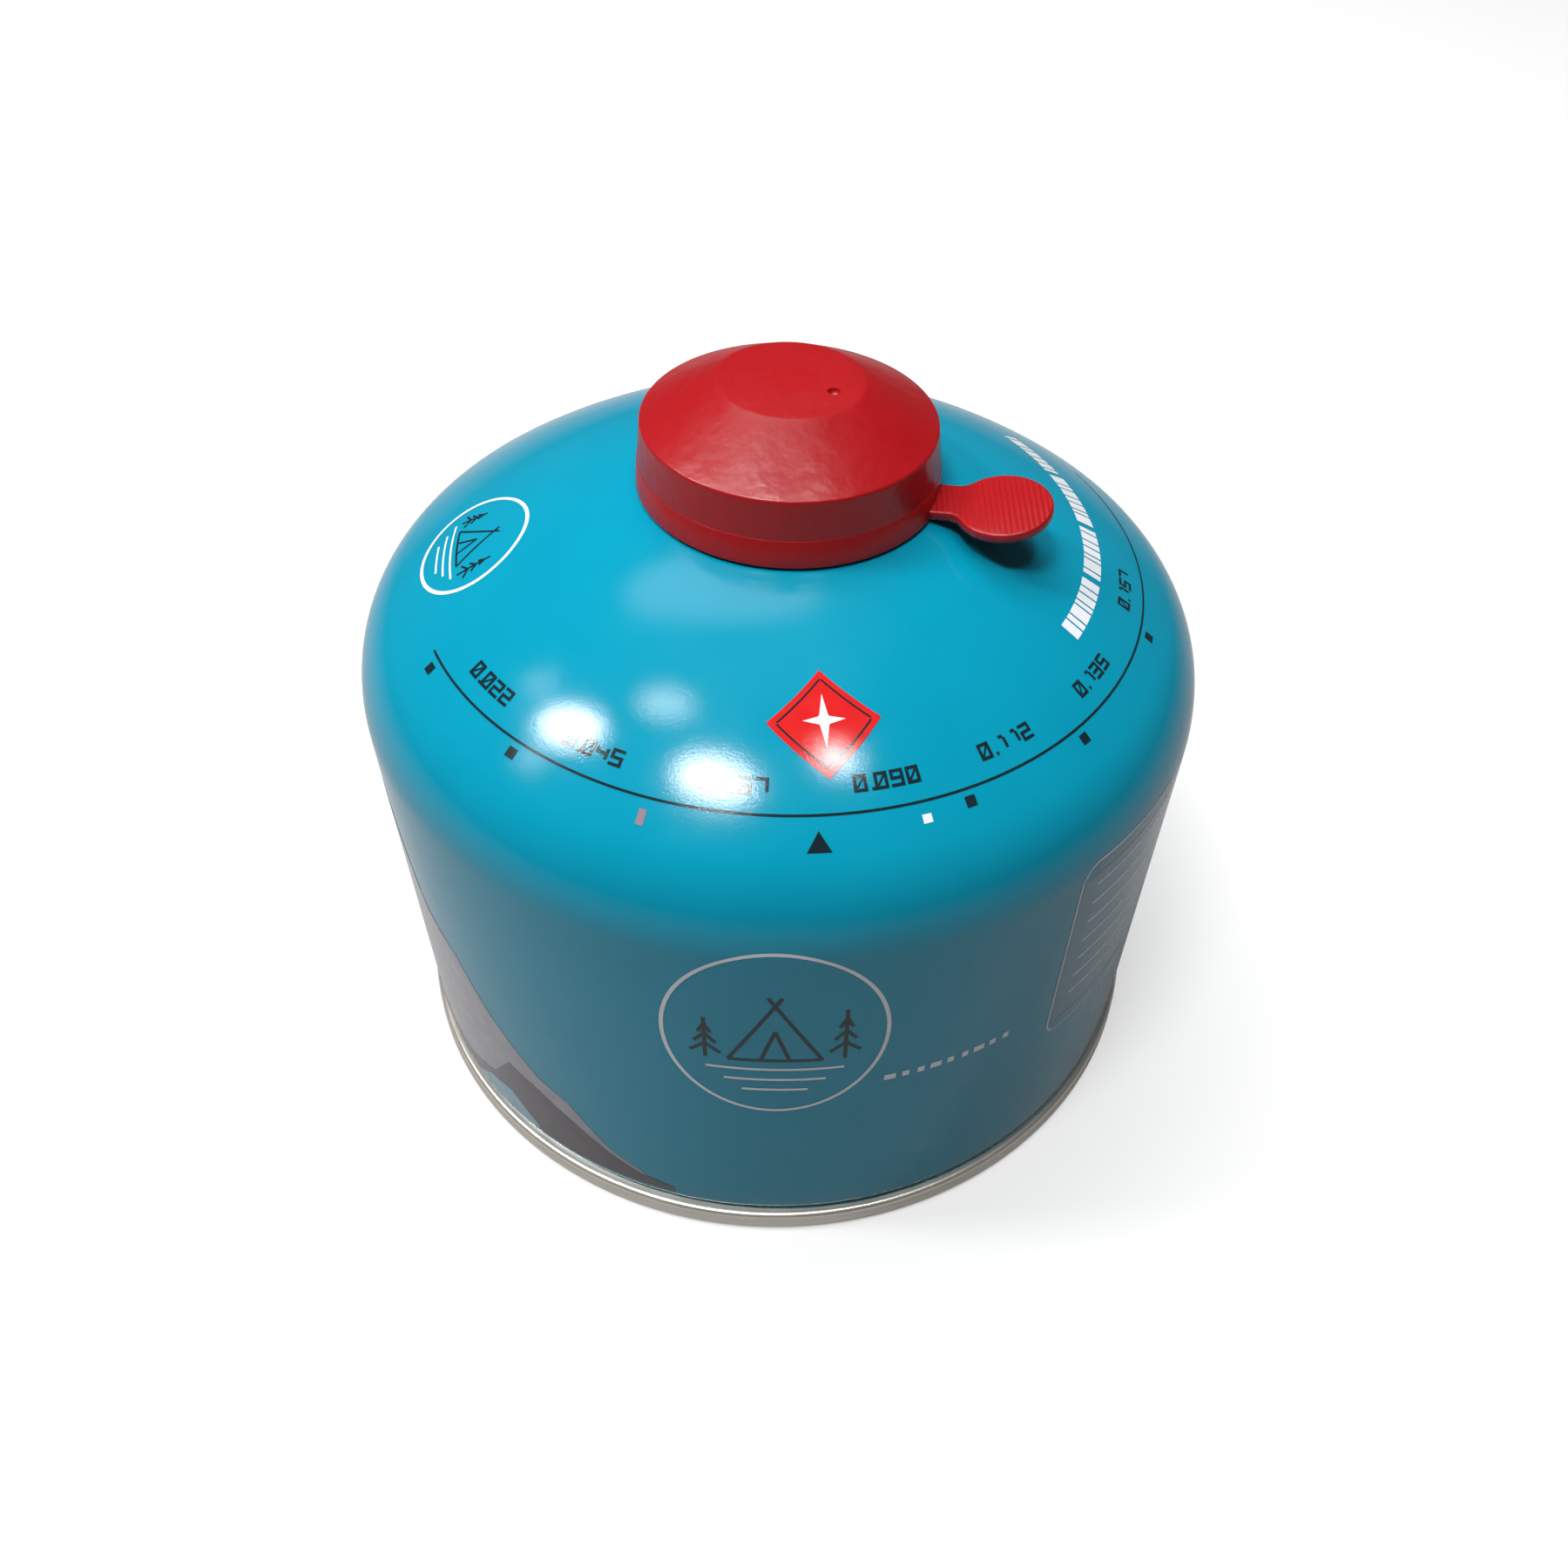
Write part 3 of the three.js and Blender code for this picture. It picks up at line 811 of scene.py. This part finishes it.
red_ribbed = red_moulding.copy()
red_ribbed.name = "red_ribbed"
nodes, links = red_ribbed.node_tree.nodes, red_ribbed.node_tree.links
shader = nodes["Principled BSDF"]
place = nodes.new("ShaderNodeTexCoord")
ribs = nodes.new("ShaderNodeTexWave")
ribs.inputs["Scale"].default_value = 480
links.new(place.outputs["Object"], ribs.inputs["Vector"])
ridges = nodes.new("ShaderNodeBump")
ridges.inputs["Strength"].default_value = 0.5
ridges.inputs["Distance"].default_value = 0.00015
links.new(ribs.outputs["Fac"], ridges.inputs["Height"])
links.new(shader.inputs["Normal"].links[0].from_socket, ridges.inputs["Normal"])
links.new(ridges.outputs["Normal"], shader.inputs["Normal"])

cap.data.materials.clear()
cap.data.materials.append(red_moulding)
cap.data.materials.append(red_ribbed)
pad_middle = Vector((pad_centre * math.sin(tab_azimuth), -pad_centre * math.cos(tab_azimuth)))
for face in cap.data.polygons:
    on_pad = (face.center.xy - pad_middle).length < pad_radius and face.normal.z > 0.97
    face.material_index = 1 if on_pad else 0
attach(cap, "cap")
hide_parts("cap")


# Floor and light
# A plain pale floor that keeps the can's shadow, a dim studio round it, and soft oval lamps
# above. One broad lamp lights the can without a highlight. Seen in the can's sheen, the floor
# carries a painted pool of light: pale close to the can, darker further out.

bpy.ops.object.select_all(action="DESELECT")
bpy.ops.mesh.primitive_plane_add(size=6, location=(0, 0, -0.0002))
floor = bpy.context.object
floor.name = "floor"
studio_floor, nodes, links, shader = material("studio_floor")
shader.inputs["Roughness"].default_value = 0.9
shader.inputs["Specular IOR Level"].default_value = 0
shader.inputs["Emission Color"].default_value = (1, 1, 1, 1)
paths = nodes.new("ShaderNodeLightPath")
straight = nodes.new("ShaderNodeMath")
straight.operation = "MAXIMUM"
links.new(paths.outputs["Is Camera Ray"], straight.inputs[0])
links.new(paths.outputs["Is Transmission Ray"], straight.inputs[1])
place = nodes.new("ShaderNodeTexCoord")
far = nodes.new("ShaderNodeVectorMath")
far.operation = "LENGTH"
links.new(place.outputs["Object"], far.inputs[0])
# Painted pool of light, for reflections only: the floor is paler close to the can and darker further out.
painted_light_pool = nodes.new("ShaderNodeMapRange")
painted_light_pool.interpolation_type = "SMOOTHSTEP"
painted_light_pool.inputs["From Min"].default_value = 0.12
painted_light_pool.inputs["From Max"].default_value = 0.5
painted_light_pool.inputs["To Min"].default_value = 0.8
painted_light_pool.inputs["To Max"].default_value = 0.1
links.new(far.outputs["Value"], painted_light_pool.inputs["Value"])
painted_pool_in_sheen = nodes.new("ShaderNodeMath")
painted_pool_in_sheen.operation = "MULTIPLY"
links.new(paths.outputs["Is Glossy Ray"], painted_pool_in_sheen.inputs[0])
links.new(painted_light_pool.outputs["Result"], painted_pool_in_sheen.inputs[1])
shown = nodes.new("ShaderNodeMath")
shown.operation = "MAXIMUM"
links.new(straight.outputs["Value"], shown.inputs[0])
links.new(painted_pool_in_sheen.outputs["Value"], shown.inputs[1])
colour = mix_colours(nodes, links, shown.outputs["Value"], (0.2, 0.2, 0.2), (0.48, 0.48, 0.48))
links.new(colour, shader.inputs["Base Color"])
glow = nodes.new("ShaderNodeMath")
glow.operation = "MULTIPLY"
glow.inputs[1].default_value = 0.5
links.new(straight.outputs["Value"], glow.inputs[0])
links.new(glow.outputs["Value"], shader.inputs["Emission Strength"])
floor.data.materials.append(studio_floor)

world = bpy.context.scene.world or bpy.data.worlds.new("studio")
bpy.context.scene.world = world
world.use_nodes = True
nodes, links = world.node_tree.nodes, world.node_tree.links
sky = nodes["Background"]
way = nodes.new("ShaderNodeTexCoord")
parts = nodes.new("ShaderNodeSeparateXYZ")
fall = nodes.new("ShaderNodeMapRange")
fall.interpolation_type = "SMOOTHSTEP"
fall.inputs["From Min"].default_value = 0.1
fall.inputs["From Max"].default_value = 0.6
fall.inputs["To Min"].default_value = 0.08
fall.inputs["To Max"].default_value = 0.06
links.new(way.outputs["Generated"], parts.inputs["Vector"])
links.new(parts.outputs["Z"], fall.inputs["Value"])
links.new(fall.outputs["Result"], sky.inputs["Strength"])
sky.inputs["Color"].default_value = (1, 1, 1, 1)


def lamp(name, spot, way, lean, wide, high, power):
    """An oval soft lamp 1.2 m from a spot, turned to it. Its long side leans forward by a share."""
    toward = Vector(way).normalized()
    spot = Vector(spot) * mm
    side = Vector((1, lean, 0))
    across = (side - toward * toward.dot(side)).normalized()
    bpy.ops.object.light_add(type="AREA", location=spot + toward * 1.2)
    light = bpy.context.object
    light.name = name
    light.data.shape = "ELLIPSE"
    light.data.size = wide
    light.data.size_y = high
    light.data.energy = power
    light.rotation_euler = Matrix((across, toward.cross(across), toward)).transposed().to_euler()


lamp("front_lamp", (-7.4, -41.6, 74.6), (-0.225, -0.268, 0.937), -0.35, 0.32, 0.18, 7.2)
lamp("left_lamp", (-23.1, -34.5, 75.1), (-0.626, 0.012, 0.78), -0.45, 0.27, 0.14, 5.2)
lamp("middle_lamp", (-12.8, -33.7, 78), (-0.363, 0.008, 0.932), -0.4, 0.22, 0.13, 0.85)
lamp("right_lamp", (5.3, -39.4, 76), (0.16, -0.198, 0.967), -0.3, 0.17, 0.1, 2)
lamp("far_left_lamp", (-26.9, -28.9, 76.2), (-0.68, 0.193, 0.707), -0.4, 0.13, 0.09, 0.15)
lamp("low_left_lamp", (-27.2, -36.6, 72.5), (-0.727, -0.036, 0.686), -0.4, 0.13, 0.09, 0.2)
lamp("back_lamp", (-7.2, -20.1, 83.5), (-0.182, 0.415, 0.891), -0.2, 0.7, 0.35, 1.4)
lamp("overhead_fill", (0, 0, 80), (-0.1, 0.3, 0.95), 0, 1, 1, 8.5)
bpy.context.object.visible_glossy = False

bpy.context.scene.view_settings.view_transform = "Standard"
